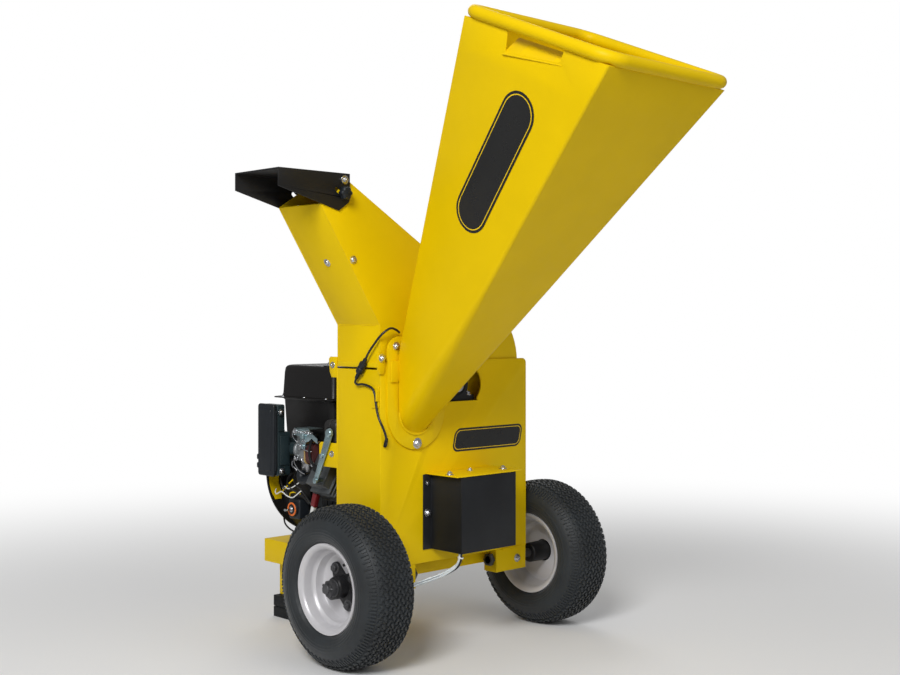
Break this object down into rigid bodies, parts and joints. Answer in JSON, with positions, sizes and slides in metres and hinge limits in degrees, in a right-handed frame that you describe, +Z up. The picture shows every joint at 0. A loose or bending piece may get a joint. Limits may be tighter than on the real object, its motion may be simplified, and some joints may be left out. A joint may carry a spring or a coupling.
{
  "type": "wood chipper",
  "caption": "Petrol wood chipper on turf tyres with a tall tilted feed hopper, disc rotor housing, side discharge chute under a tilting hood and a boxed battery.",
  "frame": {"origin": "on the ground at the middle of the footprint of the whole machine", "axes": "+Z up, -Y towards the feed hopper's mouth, +Y towards the engine, -X towards the side the chute discharges to"},
  "size_m": [1.029, 1.4374, 1.5859],
  "materials": {
    "yellow_paint": "glossy powder coat",
    "black_paint": "satin powder coat",
    "steel": "ground and lightly oiled",
    "cast_alloy": "rough as cast",
    "cast_iron": "machined, dull",
    "rim_silver": "silver-grey paint",
    "tyre": "moulded rubber",
    "rubber": "matte",
    "black_plastic": "moulded, fine grain",
    "battery_case": "moulded",
    "cable_sheath": "clear and white sleeve",
    "lead_black": "black cable sheath"
  },
  "bodies": {
    "machine": {"lower_housing": "yellow_paint", "housing_back_plate": "yellow_paint", "rotor_bulkhead": "yellow_paint", "rotor_trough": "yellow_paint", "casing_front_plate": "yellow_paint", "casing_back_plate": "yellow_paint", "casing_wrap": "yellow_paint", "chute_wall": "yellow_paint", "hopper_shell": "yellow_paint", "hopper_flange": "yellow_paint", "hopper_rim_bar": "yellow_paint", "axle_bracket_left": "yellow_paint", "axle_bracket_right": "yellow_paint", "chassis_tray": "yellow_paint", "rear_leg_left": "yellow_paint", "rear_leg_right": "yellow_paint", "front_bearing": "black_paint", "rear_bearing": "black_paint", "belt_guard": "black_paint", "battery_box": "black_paint", "battery_lid": "black_paint", "fan_cover": "black_paint", "recoil_starter": "black_paint", "starter_motor": "black_paint", "anvil_knife": "steel", "stub_axle_left": "steel", "stub_axle_right": "steel", "muffler": "steel", "engine_crankcase": "cast_alloy", "engine_cylinder": "cast_alloy", "carburettor": "cast_alloy", "drive_belt": "rubber", "foot_block_left": "rubber", "foot_block_right": "rubber", "fuel_tank": "black_plastic", "air_cleaner": "black_plastic", "switch_box": "black_plastic", "safety_connector": "black_plastic", "battery": "battery_case", "battery_cable": "cable_sheath", "safety_lead_upper": "lead_black", "safety_lead_lower": "lead_black"},
    "left_wheel": {"tyre_left": "tyre", "rim_left": "rim_silver", "hub_left": "black_paint"},
    "right_wheel": {"tyre_right": "tyre", "rim_right": "rim_silver", "hub_right": "black_paint"},
    "rotor": {"rotor_disc": "steel", "rotor_shaft": "steel", "chipper_knife_1": "steel", "chipper_knife_2": "steel", "rotor_pulley": "cast_iron"},
    "crank": {"clutch_pulley": "cast_iron"},
    "hood": {"deflector_hood": "black_paint"},
    "hood_knob": {"deflector_knob": "black_plastic"},
    "filler_cap": {"fuel_cap": "black_plastic"},
    "rope_grip": {"starter_grip": "black_plastic"},
    "key": {"ignition_key": "black_plastic"},
    "throttle": {"throttle_lever": "steel"}
  },
  "joints": [
    {"name": "left_wheel_spin", "type": "hinge", "parent": "machine", "child": "left_wheel", "pos_m": [-0.2925, 0.13868, 0.203], "axis": [1, 0, 0], "continuous": true},
    {"name": "right_wheel_spin", "type": "hinge", "parent": "machine", "child": "right_wheel", "pos_m": [0.4335, 0.13868, 0.203], "axis": [1, 0, 0], "continuous": true},
    {"name": "rotor_spin", "type": "hinge", "parent": "machine", "child": "rotor", "pos_m": [0.0825, 0.20868, 0.693], "axis": [0, 1, 0], "continuous": true},
    {"name": "crank_spin", "type": "hinge", "parent": "machine", "child": "crank", "pos_m": [0.0305, 0.33868, 0.366], "axis": [0, 1, 0], "continuous": true},
    {"name": "hood_tilt", "type": "hinge", "parent": "machine", "child": "hood", "pos_m": [-0.3141, 0.20868, 1.214], "axis": [0, 1, 0], "range_deg": [-30, 12]},
    {"name": "hood_knob_turn", "type": "hinge", "parent": "machine", "child": "hood_knob", "pos_m": [-0.3205, 0.09868, 1.18], "axis": [0, 1, 0], "continuous": true},
    {"name": "filler_cap_turn", "type": "hinge", "parent": "machine", "child": "filler_cap", "pos_m": [0.0205, 0.48868, 0.75], "axis": [0, 0, 1], "continuous": true},
    {"name": "rope_grip_pull", "type": "slide", "parent": "machine", "child": "rope_grip", "axis": [-1, 0, 0], "range_m": [0, 0.45], "stiffness_N_per_m": 30, "springref_m": -0.05},
    {"name": "key_turn", "type": "hinge", "parent": "machine", "child": "key", "pos_m": [-0.1595, 0.55668, 0.335], "axis": [1, 0, 0], "range_deg": [0, 60]},
    {"name": "throttle_tilt", "type": "hinge", "parent": "machine", "child": "throttle", "pos_m": [-0.2045, 0.37868, 0.436], "axis": [1, 0, 0], "range_deg": [-20, 4]}
  ],
  "couplings": [
    {"joint": "crank_spin", "follows": "rotor_spin", "ratio": 1.4167}
  ]
}
